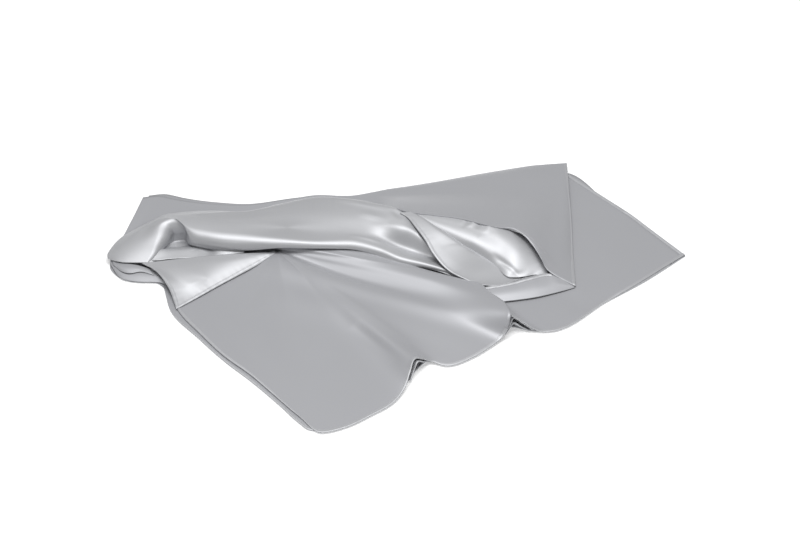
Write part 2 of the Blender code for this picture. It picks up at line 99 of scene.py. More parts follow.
# The near flap fans out from the place where the roll gathers it. Its edge runs from the left hem round the
# near corner and both waves, then back along the fold behind the second wave. Each row gives a point of the
# edge, and the heights of the cloth on the way to it, at the middle three of the shares.
FLAP_GATHER = (-180, 22, 15)
FLAP_SHARES = (0.02, 0.25, 0.5, 0.75, 1.0)
FLAP_EDGE = [
    HemPoint(-326, -74, LYING, 8, 5, 3.2),
    HemPoint(-316, -103, LYING, 8, 5, 3.2),
    HemPoint(-280, -159, LYING, 7.5, 4.5, 3.2),
    HemPoint(-243, -209, LYING, 7.5, 4.5, 3.2),
    HemPoint(-206, -248, LYING, 7.5, 4.5, 3.2),
    HemPoint(-175, -287, LYING, 7.5, 4.5, 3.2),
    HemPoint(-135, -337, LYING, 7.5, 4.5, 3.2),
    HemPoint(-105, -369, LYING, 7.5, 4.5, 3.2),
    HemPoint(-74, -359, LYING, 7.5, 4.5, 3.2),
    HemPoint(-40, -335, LYING, 7.5, 4.5, 3),
    HemPoint(-7, -306, 3, 7, 4, 3),
    HemPoint(7, -280, 6, 7, 5, 4.5),
    HemPoint(14, -257, 14, 7.5, 7.5, 9),
    HemPoint(21, -237, 22, 8.5, 10.5, 15),
    HemPoint(31, -229, 15, 9, 11, 13.5),
    HemPoint(43, -222, 5, 9.5, 11.5, 12),
    HemPoint(65, -229, 2.4, 10, 10, 7.5),
    HemPoint(104, -209, 2.3, 10, 8.5, 5),
    HemPoint(125, -190, 2.3, 8.5, 6.5, 4.5),
    HemPoint(140, -174, 2.8, 6.5, 5, 4),
    HemPoint(149, -164, 8, 6.5, 4.5, 4.5),
    HemPoint(157, -149, 26, 7.5, 6.5, 8.5),
    HemPoint(152, -129, 27, 10, 11, 13.5),
    HemPoint(141, -104, 23, 13, 15.5, 20),
    HemPoint(127, -85, 20, 16, 19, 22),
    HemPoint(117, -64, 17, 18, 21, 21.5),
    HemPoint(92, -49, 14.5, 19.5, 22, 21),
    HemPoint(64, -39, 15.5, 20, 22, 20.5),
    HemPoint(22, -22, 17, 21, 22, 21),
    HemPoint(-40, 3, 22, 21.5, 22, 23),
    HemPoint(-90, 13, 22.5, 20, 21, 22),
    HemPoint(-130, 18, 20, 17.5, 18.5, 19.5),
]

# The satin strip turned down over the left of the flap, from its far left corner to the gather.
TURNED_STRIP = [
    Strip((-373, -9, 12.5), (-356, -22, 12.2), (-331, -62, 9), (-317, -104, 3.4)),
    Strip((-346, -8, 16.5), (-330, -31, 16), (-305, -61, 12), (-286, -77, 4.6)),
    Strip((-290, 0, 18), (-283, -15, 17.5), (-271, -37, 13.4), (-258, -52, 5.8)),
    Strip((-250, 6, 18), (-245, -6, 17.8), (-238, -19, 14.2), (-230, -29, 7.6)),
    Strip((-214, 10, 17), (-211, 4, 16.6), (-206, -1, 14.6), (-201, -6, 10.6)),
    Strip((-184, 15, 15.5), (-183, 14, 15.5), (-182, 13, 15.3), (-181, 12, 15)),
]

# The right panel, from the fold behind the second wave out to its right edge, and from its hem to the far
# edge. Points given by x and y alone lie on the lower layer.
RIGHT_PANEL = [
    Panel((156, -149, 27), (174, -150, 17), (193, -153, 5), (204, -154), (297, -83), (415, 25)),
    Panel((150, -130, 25.5), (162, -131, 14), (173, -133, 4.5), (190, -133), (290, -60), (402, 43)),
    Panel((138, -104, 21.5), (149, -104, 12), (157, -106, 4), (170, -106), (280, -30), (386, 65)),
    Panel((124, -85, 18), (133, -84, 11), (141, -84, 4), (150, -84), (262, 0), (368, 90)),
    Panel((111, -69, 14), (119, -65, 8), (125, -63, 3.5), (132, -60), (240, 40), (345, 122)),
    Panel((100, -30), (104, -28), (110, -26), (120, -20), (220, 90), (304, 170)),
    Panel((120, 196), (124, 198), (130, 200), (140, 203), (195, 220), (251, 232)),
]

# The satin roll, from its left end, where it turns round a hollow, along to where it goes under the pouch.
SATIN_ROLL = [
    Roll((-424, 8, 8), (-408, -4, 12), (-399, -7, 12.6), (-390, -8, 13), (-367, -9, 13.4), 4, 45,
         (-356, -6, 12), (-352, -2, 11.8)),
    Roll((-425, 16, 10), (-409, 12, 15), (-398, 11, 17.5), (-388, 10, 19), (-360, 8, 20.5), 11, 80,
         (-350, 7, 12.5), (-338, 6, 11.8)),
    Roll((-421, 31, 10), (-405, 27, 17.5), (-394, 26, 20.5), (-384, 25, 22.5), (-357, 23, 25), 15, 105,
         (-346, 22, 10.5), (-327, 12, 10)),
    Roll((-414, 46, 11), (-397, 42, 19), (-386, 41, 23), (-376, 41, 25.5), (-353, 39, 30), 20, 106,
         (-341, 38, 8), (-314, 17, 6)),
    Roll((-402, 62, 12), (-385, 60, 21), (-376, 60, 25), (-366, 59, 28.5), (-349, 57, 35), 24, 108,
         (-331, 51, 6), (-302, 20, 6)),
    Roll((-380, 84, 12), (-365, 80, 22), (-357, 78, 27), (-349, 75, 32), (-333, 66, 38), 26, 110,
         (-317, 54, 6), (-290, 22, 6)),
    Roll((-345, 112, 11), (-340, 101, 21), (-331, 91, 27), (-322, 79, 33), (-312, 48, 39), 24, 110,
         (-308, 46, 6.5), (-284, 25, 6.5)),
    Roll((-290, 122, 11), (-290, 101, 25), (-288, 86, 30.5), (-286, 70, 34.5), (-282, 38, 38.2), 24, 110,
         (-278, 32, 8), (-262, 22, 8)),
    Roll((-229, 113, 12), (-228, 91, 31), (-226, 76, 33.8), (-224, 58, 34.5), (-223, 31, 36.6), 25, 95,
         (-222, 16, 18), (-221, 24, 16.5)),
    Roll((-178, 130, 13), (-177, 108, 33), (-176, 84, 34.8), (-175, 54, 33), (-174, 25, 34.6), 19, 80,
         (-174, 12, 24), (-174, 22, 21)),
    Roll((-119, 144, 14), (-118, 122, 35), (-118, 90, 36), (-117, 42, 32.5), (-116, 20, 33), 15, 70,
         (-116, 9, 26), (-116, 20, 23)),
    Roll((-81, 139, 15), (-80, 115, 36.5), (-79, 76, 35.5), (-77, 40, 32), (-77, 22, 33), 19, 64,
         (-76, 9, 25), (-75, 19, 22)),
    Roll((-38, 127, 17), (-41, 104, 37), (-39, 60, 35), (-36, 28, 29), (-33, 10, 29.7), 16, 66,
         (-31, -2, 21), (-29, 8, 19)),
    Roll((-7, 95, 36), (-4, 84, 40), (-3, 45, 37.5), (-1, 25, 17.5), (0, -7, 25), 12, 74,
         (2, -18, 17.5), (3, -10, 15)),
    Roll((22, 72, 29), (22, 58, 34), (24, 38, 33), (28, 16, 12), (37, -17, 19.9), 8, 85,
         (40, -23, 13.5), (42, -19, 12.5)),
    Roll((56, 40, 20), (57, 20, 19), (58, 10, 15.5), (60, -6, 12), (63, -25, 15.7), 5, 90,
         (66, -31, 11), (69, -33, 10)),
    Roll((80, 10, 12), (82, -5, 10.5), (84, -14, 10), (86, -25, 9.5), (90, -38, 10.5), 3, 90,
         (93, -42, 8.5), (96, -44, 7.8)),
]

# The inner fold that shows in the hollow under the roll.
HOLLOW_FOLD = [
    Fold((-362, 20, 16), (-363, 12, 17.5), (-364, -3, 12.6)),
    Fold((-346, 34, 6), (-347, 16, 17.5), (-350, -4, 14)),
    Fold((-336, 38, 6), (-337, 15, 16.5), (-338, -2, 14.5)),
    Fold((-322, 40, 6), (-323, 16, 16), (-324, 0, 14.5)),
    Fold((-304, 42, 6.5), (-304, 20, 16.5), (-304, 2, 14)),
    Fold((-288, 40, 7), (-288, 23, 15.5), (-288, 4, 13.5)),
    Fold((-277, 36, 8), (-277, 22, 14), (-278, 5, 13)),
    Fold((-264, 32, 12), (-264, 22, 18), (-264, 6, 14.5)),
    Fold((-245, 27, 16), (-245, 21, 19.5), (-246, 9, 15.5)),
    Fold((-226, 20, 17), (-226, 17, 18), (-226, 12, 16)),
]

# The matt panel behind the roll on the left, from its left edge along its far edge.
LEFT_BACK = [
    Back((-423, 26, 8), (-409, 53, 9), (-397, 97, 10), (-384, 157, 10)),
    Back((-400, 40, 8), (-385, 80, 8), (-372, 120, 8.5), (-362, 162, 9)),
    Back((-372, 60, 8), (-358, 90, 8), (-345, 120, 8.5), (-330, 152, 9)),
    Back((-290, 95, 8.5), (-284, 110, 8.5), (-280, 126, 9), (-276, 141, 9)),
    Back((-231, 95, 9), (-231, 109, 9), (-231, 124, 9.5), (-231, 137, 10)),
    Back((-164, 100, 10), (-164, 117, 10), (-164, 134, 11), (-164, 150, 12)),
    Back((-120, 120, 10.5), (-120, 134, 11), (-120, 147, 11.5), (-120, 160, 12)),
    Back((-81, 122, 11), (-81, 134, 11.5), (-81, 146, 12), (-81, 157, 12)),
]
# The layer beneath it has the same sections but the last, shifted less and less to the right.
LEFT_BACK_UNDER_SHIFT = (8, 10, -4)
LEFT_BACK_UNDER_SECTIONS = 7

# The matt panel turned back over the right end, from the roll to its own hem, each section from the pouch
# back to the far fold.
BACK_PANEL = [
    Back((-98, 140, 12.6), (-98, 146, 12.6), (-98, 152, 12.6), (-98, 157, 12.6)),
    Back((-79, 143, 12.6), (-79, 148, 12.6), (-79, 152, 12.5), (-79, 157, 12.4)),
    Back((-40, 131, 15), (-40, 143, 14.5), (-40, 156, 13), (-40, 169, 11)),
    Back((-13, 99, 33), (-15, 125, 25), (-17, 152, 16), (-18, 178, 10)),
    Back((3, 83, 40.4), (6, 112, 33), (9, 148, 19), (12, 186, 9.5)),
    Back((44, 71, 41.2), (50, 105, 34), (60, 150, 19.5), (70, 203, 9)),
    Back((88, 62, 40.9), (96, 100, 34), (104, 150, 20), (112, 216, 9)),
    Back((141, 43, 39.3), (146, 90, 33), (150, 150, 20), (154, 228, 9)),
    Back((164, 41, 38.2), (170, 90, 32), (176, 150, 19), (180, 235, 9)),
    Back((176, 33, 36.5), (186, 85, 29.5), (194, 150, 18), (200, 240, 9)),
    Back((190, 16, 32), (204, 75, 25), (213, 145, 16), (221, 243, 9)),
    Back((203, -9, 25), (219, 55, 19), (229, 140, 13), (238, 245, 9)),
    Back((212, -28, 18), (235, 30, 13), (244, 130, 10), (248, 246, 9)),
    Back((252, -49, 4.6), (252, 8, 4.2), (254, 110, 5), (254, 247, 8.5)),
]

# The pouch: its near wall hangs from the rim into a valley, and its far wall bulges up from there.
POUCH_LINING = [
    Lining((0, 76, 40.5), (7, 78, 40.8), (13, 80, 41), (18, 86, 38)),
    Lining((12, 64, 39.5), (22, 64, 40.2), (32, 62, 40.2), (38, 70, 36)),
    Lining((23, 44, 37), (34, 45, 38), (46, 46, 38.6), (54, 57, 33)),
    Lining((36, 20, 33), (48, 26, 34.6), (62, 32, 35.6), (72, 44, 29)),
    Lining((46, -2, 27.5), (62, 8, 29), (80, 19, 29.6), (90, 30, 23)),
    Lining((67, -31, 18.5), (84, -18, 20.5), (108, 2, 21), (116, 12, 16)),
    Lining((93, -51, 16), (108, -40, 16), (132, -16, 14), (142, -8, 11)),
    Lining((114, -61, 14), (126, -52, 12), (146, -30, 9.5), (154, -22, 8)),
    Lining((138, -62, 13), (144, -57, 10.5), (154, -46, 8.5), (164, -38, 7.5)),
    Lining((157, -53, 13), (161, -50, 10.5), (168, -45, 8.5), (176, -38, 7.5)),
    Lining((186, -42, 14), (188, -40, 11.5), (192, -36, 9.5), (198, -30, 8)),
    Lining((212, -33, 14), (212, -32, 12.5), (213, -30, 11.5), (214, -28, 10)),
]
POUCH_BULGE = [
    Bulge((17, 81, 38.5), (14, 83, 39.5), (11, 86, 39.5), (8, 89, 38)),
    Bulge((44, 51, 33), (45, 57, 37.5), (46, 67, 39.5), (46, 78, 40.4)),
    Bulge((79, 25, 24), (82, 33, 33), (87, 51, 38), (89, 69, 40.2)),
    Bulge((112, 5, 15.5), (115, 14, 27), (119, 36, 35), (118, 58, 39)),
    Bulge((137, -14, 11), (141, -5, 21), (147, 16, 32), (144, 46, 37.8)),
    Bulge((158, -38, 9), (165, -20, 19), (170, 4, 28), (173, 50, 31)),
    Bulge((178, -36, 9), (185, -24, 14), (191, -2, 20), (196, 36, 22)),
    Bulge((196, -31, 9), (201, -22, 11.5), (206, -4, 14), (211, 19, 13.5)),
    Bulge((208, -33, 9), (211, -28, 9), (215, -18, 10.5), (217, -5, 9.5)),
]
# The matt strip below the pouch's rim, from behind the second wave to the panel's front corner.
POUCH_LIP = [
    Fold((120, -64, 12), (129, -80, 9), (137, -90, 4.6)),
    Fold((158, -54, 12.6), (165, -74, 9.2), (170, -84, 4.6)),
    Fold((187, -43, 13.6), (192, -67, 9.2), (195, -78, 4.6)),
    Fold((213, -34, 13.6), (219, -58, 8.4), (221, -68, 4.2)),
    Fold((249, -52, 5), (250, -53, 4.4), (251, -54, 3.4)),
]

# The bends where the doubled cloth turns round at the left end, the outer one below the inner one.
LEFT_BENDS = {
    "left_bend_outer": [
        Fold((-416, 8, 6), (-420, 3, 5), (-417, -4, 2.4)),
        Fold((-405, -6, 7), (-408, -17, 5.5), (-404, -29, 2.4)),
        Fold((-384, -12, 7.5), (-383, -26, 6), (-381, -39, 2.4)),
        Fold((-360, -18, 7), (-354, -30, 5.5), (-347, -41, 2.4)),
        Fold((-338, -32, 5), (-336, -39, 4.5), (-335, -46, 2.4)),
    ],
    "left_bend_inner": [
        Fold((-412, 3, 9.1), (-416, -1, 8.3), (-414, -6, 7)),
        Fold((-401, -6, 10.5), (-404, -14, 9.5), (-400, -22, 7.2)),
        Fold((-391, -8, 11), (-390, -17, 10.2), (-388, -26, 7.8)),
        Fold((-380, -10, 10.5), (-377, -17, 9.8), (-374, -23, 8.2)),
        Fold((-362, -16, 8.5), (-358, -23, 7.8), (-354, -29, 6.4)),
    ],
}

# The lower layer's hem waves too, and shows as nested arches in the mouth of each wave of the flap.
WAVE_LAYERS = {
    "first_wave_layer": [
        Wave((15, -262, 2.4), (19, -250, 9), (25, -238, 17), (34, -228, 9), (43, -219, 2.4)),
        Wave((-8, -232, 2.4), (-4, -222, 6), (2, -212, 11), (11, -205, 6), (20, -200, 2.6)),
    ],
    "second_wave_layer": [
        Wave((144, -164, 2.4), (153, -156, 12), (161, -147, 22), (176, -148, 12), (189, -150, 2.6)),
        Wave((114, -142, 2.4), (121, -134, 10), (129, -124, 17), (140, -125, 9), (152, -127, 2.4)),
    ],
    "second_wave_inner_layer": [
        Wave((148, -160, 2.4), (154, -154, 8), (161, -149, 15), (171, -149, 8), (182, -151, 2.4)),
        Wave((124, -138, 2.4), (128, -132, 6), (133, -126, 9), (138, -127, 5), (146, -129, 2.4)),
    ],
}

# Soft creases of each stretch: a line from one layout point to another, how far it bows aside, its half width
# and its height, below the cloth where negative.
RIGHT_CREASES = [
    Crease(228, -60, 262, -110, 4, 16, -0.8),
    Crease(330, -20, 270, 120, 12, 30, 0.8),
]
FLAP_CREASES = [
    Crease(-210, 2, 228, -178, -4, 22, 8.4),
    Crease(-200, -60, 150, -190, 4, 36, 4.0),
    Crease(-66, -145, 4, -236, 0, 9, -2.0),
]
ROLL_CREASES = [
    Crease(-410, 30, -330, 88, 3, 5, 0.9),
    Crease(-340, 86, -160, 102, -4, 5, 1.2),
    Crease(-235, 56, -85, 50, 2, 8, 0.4),
    Crease(-98, 119, -2, 84, 0, 4, 1.5),
    Crease(-62, 82, -16, 58, 3, 6, 1.6),
    Crease(-12, 88, 4, 64, 0, 5, -1.8),
    Crease(-46, 56, 24, 40, 2, 5, 0.8),
    Crease(-50, 38, 40, 10, 3, 6, -2.0),
    Crease(-76, 33, 6, 6, 3, 3.5, 1.0),
]
BACK_CREASES = [
    Crease(20, 140, 190, 160, 8, 26, 0.8),
    Crease(150, 50, 222, -22, 7, 4.5, 2.1),
]
LINING_CREASES = [
    Crease(58, 6, 106, 14, 8, 3, -0.7),
]
BULGE_CREASES = [
    Crease(112, 66, 100, 46, 1, 3, 0.9),
    Crease(122, 66, 112, 42, -1, 3, -0.9),
    Crease(132, 62, 124, 34, 2, 4, 0.9),
    Crease(98, 62, 90, 44, 0, 3, -0.6),
    Crease(132, 2, 176, -40, 0, 3.5, -1.6),
]

# What most sheets lie on.
ON_LOWER = ["lower_layer"]
ON_HIDDEN = ["hidden_layers"]
# Each sheet's outer side, its points along and across each span of its sections (the lower layer's in all),
# the passes that ease it, its flat cut in metres and square metres, what it lies on, and its hems.
SHEETS = {
    "lower": Sheet(MATT, 240, 60, 0, 0.84, 0.61, 0.3, [], [Hem("near", 0.12, 0.97)]),
    "right_panel": Sheet(MATT, 14, 14, 6, 0.34, 0.3, 0.082, ON_LOWER, [Hem("start"), Hem("far")]),
    "front_flap": Sheet(MATT, 7, 22, 40, 0.45, 0.38, 0.115, ON_LOWER, [Hem("far", 0.0, 0.66)]),
    "first_wave_layer": Sheet(MATT, 20, 8, 0, 0.05, 0.036, 0.0018, ON_LOWER, [Hem("start")]),
    "second_wave_layer": Sheet(MATT, 20, 8, 0, 0.06, 0.045, 0.0021, ON_LOWER, [Hem("start")]),
    "second_wave_inner_layer": Sheet(MATT, 20, 8, 0, 0.04, 0.035, 0.0012, ON_LOWER, [Hem("start")]),
    "left_bend_outer": Sheet(MATT, 12, 8, 0, 0.1, 0.024, 0.0019, ON_LOWER),
    "left_bend_inner": Sheet(MATT, 12, 8, 0, 0.05, 0.016, 0.0008, ON_LOWER),
    "turned_strip": Sheet(SATIN, 20, 16, 4, 0.2, 0.09, 0.0101, ["front_flap"], [Hem("far"), Hem("start")]),
    "satin_roll": Sheet(SATIN, 12, 8, 3, 0.52, 0.16, 0.067, ON_HIDDEN),
    "hollow_fold": Sheet(SATIN, 14, 10, 2, 0.14, 0.04, 0.0046, ON_HIDDEN),
    "left_back": Sheet(MATT, 14, 10, 4, 0.34, 0.12, 0.018, ON_HIDDEN),
    "left_back_under": Sheet(MATT, 12, 8, 4, 0.3, 0.12, 0.0166, ON_LOWER),
    "back_panel": Sheet(MATT, 10, 14, 4, 0.33, 0.26, 0.057, ON_HIDDEN,
                        [Hem("end", 0.0, 0.97), Hem("near", 0.67, 0.9)]),
    "pouch_lining": Sheet(SATIN, 10, 12, 3, 0.26, 0.06, 0.0104, ON_HIDDEN, [Hem("near")]),
    "pouch_bulge": Sheet(SATIN, 14, 14, 3, 0.22, 0.07, 0.0119, ON_HIDDEN),
    "pouch_lip": Sheet(MATT, 14, 10, 2, 0.13, 0.035, 0.0039, ["right_panel"], [Hem("near", 0.0, 0.73)]),
}
# The nodes of the sheets that aren't named as their node is.
NODES = {"lower": "lower_layer", "hollow_fold": "roll_hollow_fold", "left_back": "left_back_panel"}


def linear(hex_colour):
    """An sRGB hex colour as linear red, green and blue."""
    parts = [int(hex_colour[at:at + 2], 16) / 255 for at in (1, 3, 5)]
    return [part / 12.92 if part <= 0.04045 else ((part + 0.055) / 1.055) ** 2.4 for part in parts]


def placed(points):
    """Layout points in millimetres, in metres about the scarf's own centre."""
    return (np.asarray(points, dtype=float) - LAYOUT_CENTRE) * MM


class ClothSettings(bpy.types.PropertyGroup):
    """Sizes and colours of the cloth."""

    thickness: FloatProperty(name="Thickness", description="Thickness of the silk", default=0.0004,
                             unit="LENGTH")
    hem_width: FloatProperty(name="Hem width", description="Width of the turned hem", default=0.0055,
                             unit="LENGTH")
    hem_rise: FloatProperty(name="Hem rise", description="How far the hem stands above the cloth",
                            default=0.0007, unit="LENGTH")
    stitch_length: FloatProperty(name="Stitch length", description="Pitch of the machine stitches",
                                 default=0.0026, unit="LENGTH")
    face_colour: FloatVectorProperty(name="Satin face", description="Colour of the satin side",
                                     default=linear("#C6C7CA"), subtype="COLOR")
    back_colour: FloatVectorProperty(name="Matt back", description="Colour of the matt side",
                                     default=linear("#B5B6BA"), subtype="COLOR")
    thread_colour: FloatVectorProperty(name="Thread", description="Colour of the sewing thread",
                                       default=linear("#B9BABD"), subtype="COLOR")


class StudioSettings(bpy.types.PropertyGroup):
    """Floor, light and camera."""

    floor_colour: FloatVectorProperty(name="Floor", description="Colour of the pale floor",
                                      default=linear("#F7F7F7"), subtype="COLOR")
    floor_glow: FloatProperty(name="Floor glow", description="Light from below through the white floor",
                              default=0.3)
    softbox_power: FloatProperty(name="Softbox power", description="Power of the overhead softbox in watts",
                                 default=32.0)
    softbox_height: FloatProperty(name="Softbox height", description="Height of the softbox over the floor",
                                  default=2.2, unit="LENGTH")
    softbox_width: FloatProperty(name="Softbox width", description="Width of the softbox", default=1.6,
                                 unit="LENGTH")
    room_light: FloatProperty(name="Room light", description="Strength of the white light all round",
                              default=0.4)
    lens: FloatProperty(name="Lens", description="Focal length of the camera in millimetres", default=120.0)


def smooth(rows, per_span):
    """Points on a smooth curve through the rows, which never swings past them, per_span to each stretch."""
    rows = np.asarray(rows, dtype=float)
    spans = len(rows) - 1
    one_each = (-1,) + (1,) * (rows.ndim - 1)
    lengths = np.linalg.norm(np.diff(rows, axis=0), axis=-1).reshape(spans, -1).mean(axis=1)
    knots = np.concatenate([[0.0], np.cumsum(lengths)])
    widths = lengths.reshape(one_each)
    climbs = np.diff(rows, axis=0) / widths
    slopes = np.gradient(rows, knots, axis=0)
    limits = 3 * np.minimum(abs(climbs[:-1]), abs(climbs[1:]))
    turns_back = climbs[:-1] * climbs[1:] <= 0
    slopes[1:-1] = np.where(turns_back, 0, np.clip(slopes[1:-1], -limits, limits))
    at = np.linspace(0, spans, spans * per_span + 1)
    span = np.minimum(at.astype(int), spans - 1)
    s = (at - span).reshape(one_each)
    start = rows[span] * (1 + 2 * s) * (1 - s) ** 2 + slopes[span] * widths[span] * s * (1 - s) ** 2
    end = rows[span + 1] * s**2 * (3 - 2 * s) + slopes[span + 1] * widths[span] * s**2 * (s - 1)
    return start + end


def loft(sections, along, across):
    """A grid of points on the smooth surface through the sections, each a row of points of its own."""
    return smooth([smooth(section, across) for section in sections], along)


def relaxed(points, passes):
    """The grid with its inner points eased towards their neighbours, so that highlights have no kinks."""
    points = points.copy()
    for _ in range(passes):
        around = points[:-2, 1:-1] + points[2:, 1:-1] + points[1:-1, :-2] + points[1:-1, 2:]
        points[1:-1, 1:-1] += (around / 4 - points[1:-1, 1:-1]) / 2
    return points


def turned_under(section):
    """A section that goes on round a soft fold at its far end and back beneath itself."""
    x, y, z = section[-1]
    round_fold = (x, y + FOLD_RADIUS, z - FOLD_RADIUS)
    beneath = (x, y, z - 2 * FOLD_RADIUS)
    return [*section, round_fold, beneath]


# A panel's near end curls beneath itself up to this x, and lies open as a hem from a little further right.
OPEN_EDGE_FROM = 158
OPEN_EDGE_RUN = 12
# How far back and up its two added points lie, where it curls and where it is open.
CURLED_STEPS = ((4, -3.2), (-0.5, -1.7))
OPEN_STEPS = ((-3, -0.9), (-1.5, -0.3))


def rounded_front(section):
    """A section whose near end curls beneath itself as a fold, and lies open as a hem further right."""
    x, y, z = section[0]
    opened = min(1, max(0, (x - OPEN_EDGE_FROM) / OPEN_EDGE_RUN))
    curled = 1 - opened
    front = [(x, y + back * curled + open_back * opened, z + up * curled + open_up * opened)
             for (back, up), (open_back, open_up) in zip(CURLED_STEPS, OPEN_STEPS)]
    return [*front, *section]


def flap_ray(hem):
    """The flap from near its gather out to one point of its edge."""
    gather = np.array(FLAP_GATHER, dtype=float)
    edge = np.array([hem.x, hem.y, hem.z], dtype=float)
    ray = [gather + (edge - gather) * share for share in FLAP_SHARES]
    for point, height in zip(ray[1:4], (hem.quarter, hem.half, hem.three_quarters)):
        point[2] = height
    return ray


# The points round a brow, and the share of its radius that is left at its end.
BROW_POINTS = 8
BROW_TIGHTENS = 0.35


def roll_section(row):
    """A section of the roll: over its crest and dip, round its brow, which tightens, and tucked in."""
    point = np.array(row.top, dtype=float)
    forward = point - np.array(row.dip, dtype=float)
    forward[2] = 0
    forward /= np.linalg.norm(forward)
    up = np.array([0.0, 0.0, 1.0])
    step = np.radians(row.turn) / BROW_POINTS
    brow = [point]
    for number in range(BROW_POINTS):
        angle = (number + 0.5) * step
        radius = row.radius * (1 - (1 - BROW_TIGHTENS) * (number + 0.5) / BROW_POINTS)
        point = point + radius * step * (np.cos(angle) * forward - np.sin(angle) * up)
        brow.append(point)
    return [row.outer, row.crest, row.swell, row.dip, *brow, row.floor, row.tuck]


def laid(section):
    """A section whose points without a height lie on the lower layer."""
    return [(*point, LYING) if len(point) == 2 else point for point in section]


def raw_normals(points):
    """A normal at each point of a grid, as long as the grid is wide there, and either way up."""
    return np.cross(np.gradient(points, axis=0), np.gradient(points, axis=1))


TINY = 1e-9


def grid_normals(points):
    """The unit normal at each point of a grid, turned up on the whole."""
    normals = raw_normals(points)
    lengths = np.linalg.norm(normals, axis=-1, keepdims=True)
    return normals / np.maximum(lengths, TINY) * (1 if normals[..., 2].sum() > 0 else -1)


def creased(points, creases):
    """The grid with each soft ridge, or trough where its height is negative, fading out at both ends."""
    shift = np.zeros(points.shape[:2])
    for crease in creases:
        start = np.array([crease.x0, crease.y0])
        run = np.array([crease.x1, crease.y1]) - start
        length = np.hypot(*run)
        along = (points[..., :2] - start) @ run / length**2
        aside = (points[..., :2] - start) @ np.array([-run[1], run[0]]) / length
        aside -= crease.bow * 4 * along * (1 - along)
        fade = np.clip(1 - (2 * along - 1) ** 2, 0, 1)
        shift += crease.height * fade * np.exp(-(aside / crease.width) ** 2)
    return points + grid_normals(points) * shift[..., None]


def sides_of(points):
    """The four edges of a grid, each with the way in from it: rows of points from the edge inwards."""
    return {
        "start": np.swapaxes(points, 0, 1),
        "end": np.swapaxes(points[::-1], 0, 1),
        "near": points,
        "far": points[:, ::-1],
    }


def along_edge(edge):
    """The distance of each point of a line from its start."""
    return np.concatenate([[0.0], np.cumsum(np.linalg.norm(np.diff(edge, axis=0), axis=-1))])


def between(at, run, line):
    """The points at the given distances along a line."""
    return np.stack([np.interp(at, run, line[:, axis]) for axis in range(line.shape[1])], axis=-1)


def evenly(line, count):
    """So many points evenly spaced along a line."""
    run = along_edge(line)
    return between(np.linspace(0, run[-1], count), run, line)


# Two ripples run along each hem, their pitch swaying, and fade out over the reach.
PUCKER_REACH = 11.0
PUCKER_RISE = 0.1
RIPPLES = [
    Ripple(0.6, 1.9, 1.4, 9.0, 0),
    Ripple(0.4, 2.9, 1.1, 14.0, 2),
]


def puckered(points, sides):
    """The grid with the small ripples that the stitching draws up beside each hem."""
    points = points.copy()
    normals = grid_normals(points)
    for side in sides:
        rows = sides_of(points)[side]
        lift = sides_of(normals)[side]
        run = along_edge(rows[:, 0])
        ripple = sum(one.share * np.sin(run / one.pitch + one.sway * np.sin(run / one.sway_pitch) + one.start)
                     for one in RIPPLES)
        away = np.cumsum(np.linalg.norm(np.diff(rows, axis=1, prepend=rows[:, :1]), axis=-1), axis=1)
        rows += lift * (PUCKER_RISE * ripple[:, None] * np.exp(-(away / PUCKER_REACH) ** 2))[..., None]
    return points


def add_piece(name, mesh):
    """A new object at the origin, riding on the scarf's one body."""
    piece = bpy.data.objects.new(name, mesh)
    bpy.context.scene.collection.objects.link(piece)
    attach(piece, "root")
    return piece


def surface_mesh(name, points, quads, u, v, materials):
    """A mesh through a grid of layout points, shaded smooth, with a UV map in metres."""
    mesh = bpy.data.meshes.new(name)
    mesh.from_pydata(placed(points).reshape(-1, 3).tolist(), [], quads.tolist())
    uvs = np.stack(np.meshgrid(u, v, indexing="ij"), axis=-1).reshape(-1, 2)
    corners = np.zeros(len(mesh.loops), dtype=np.int32)
    mesh.loops.foreach_get("vertex_index", corners)
    mesh.uv_layers.new(name="UVMap").data.foreach_set("uv", uvs[corners].astype(np.float32).ravel())
    for material in materials:
        mesh.materials.append(material)
    mesh.shade_smooth()
    mesh.validate()
    return mesh


def grid_quads(rows, columns, flip, closed=False):
    """The quads of a grid of points, closed into a tube across its columns where asked."""
    index = np.arange(rows * columns).reshape(rows, columns)
    if closed:
        index = np.hstack([index, index[:, :1]])
    quads = np.stack([index[:-1, :-1], index[1:, :-1], index[1:, 1:], index[:-1, 1:]], axis=-1).reshape(-1, 4)
    return quads[:, ::-1] if flip else quads


def add_silk(name, points, outer, inner):
    """A thin sheet of silk through the grid of points, its outer side up."""
    rows, columns = points.shape[:2]
    across = np.linalg.norm(np.diff(points, axis=1), axis=-1).mean(axis=0)
    down = np.linalg.norm(np.diff(points, axis=0), axis=-1).mean(axis=1)
    u = np.concatenate([[0.0], np.cumsum(down)]) * MM
    v = np.concatenate([[0.0], np.cumsum(across)]) * MM
    quads = grid_quads(rows, columns, raw_normals(points)[..., 2].sum() < 0)
    mesh = surface_mesh(name, points, quads, u, v, [finish(outer), finish(inner)])
    piece = add_piece(name, mesh)
    shell = piece.modifiers.new("Silk thickness", "SOLIDIFY")
    shell.thickness = bpy.context.scene.silk_cloth.thickness
    shell.offset = -1
    shell.material_offset = 1
    shell.use_even_offset = False
    return piece


# The hem's outline from the edge inwards, as shares of its width and of its rise, with the ditch of its seam.
HEM_PROFILE = [
    (0.00, 0.00), (0.06, 0.62), (0.22, 0.95), (0.50, 1.00), (0.74, 0.90), (0.80, 0.62), (0.86, 0.88),
    (0.97, 0.70), (1.04, 0.05),
]
# Where the stitches lie, as shares of the hem's width and rise.
STITCH_AT = 0.80
STITCH_SEAT = 0.62
# How much further the hem stands out below, its points' distance apart, and the rows of cloth that it covers.
HEM_BELOW = 1.3
HEM_PITCH = 1.6
HEM_REACH = 12


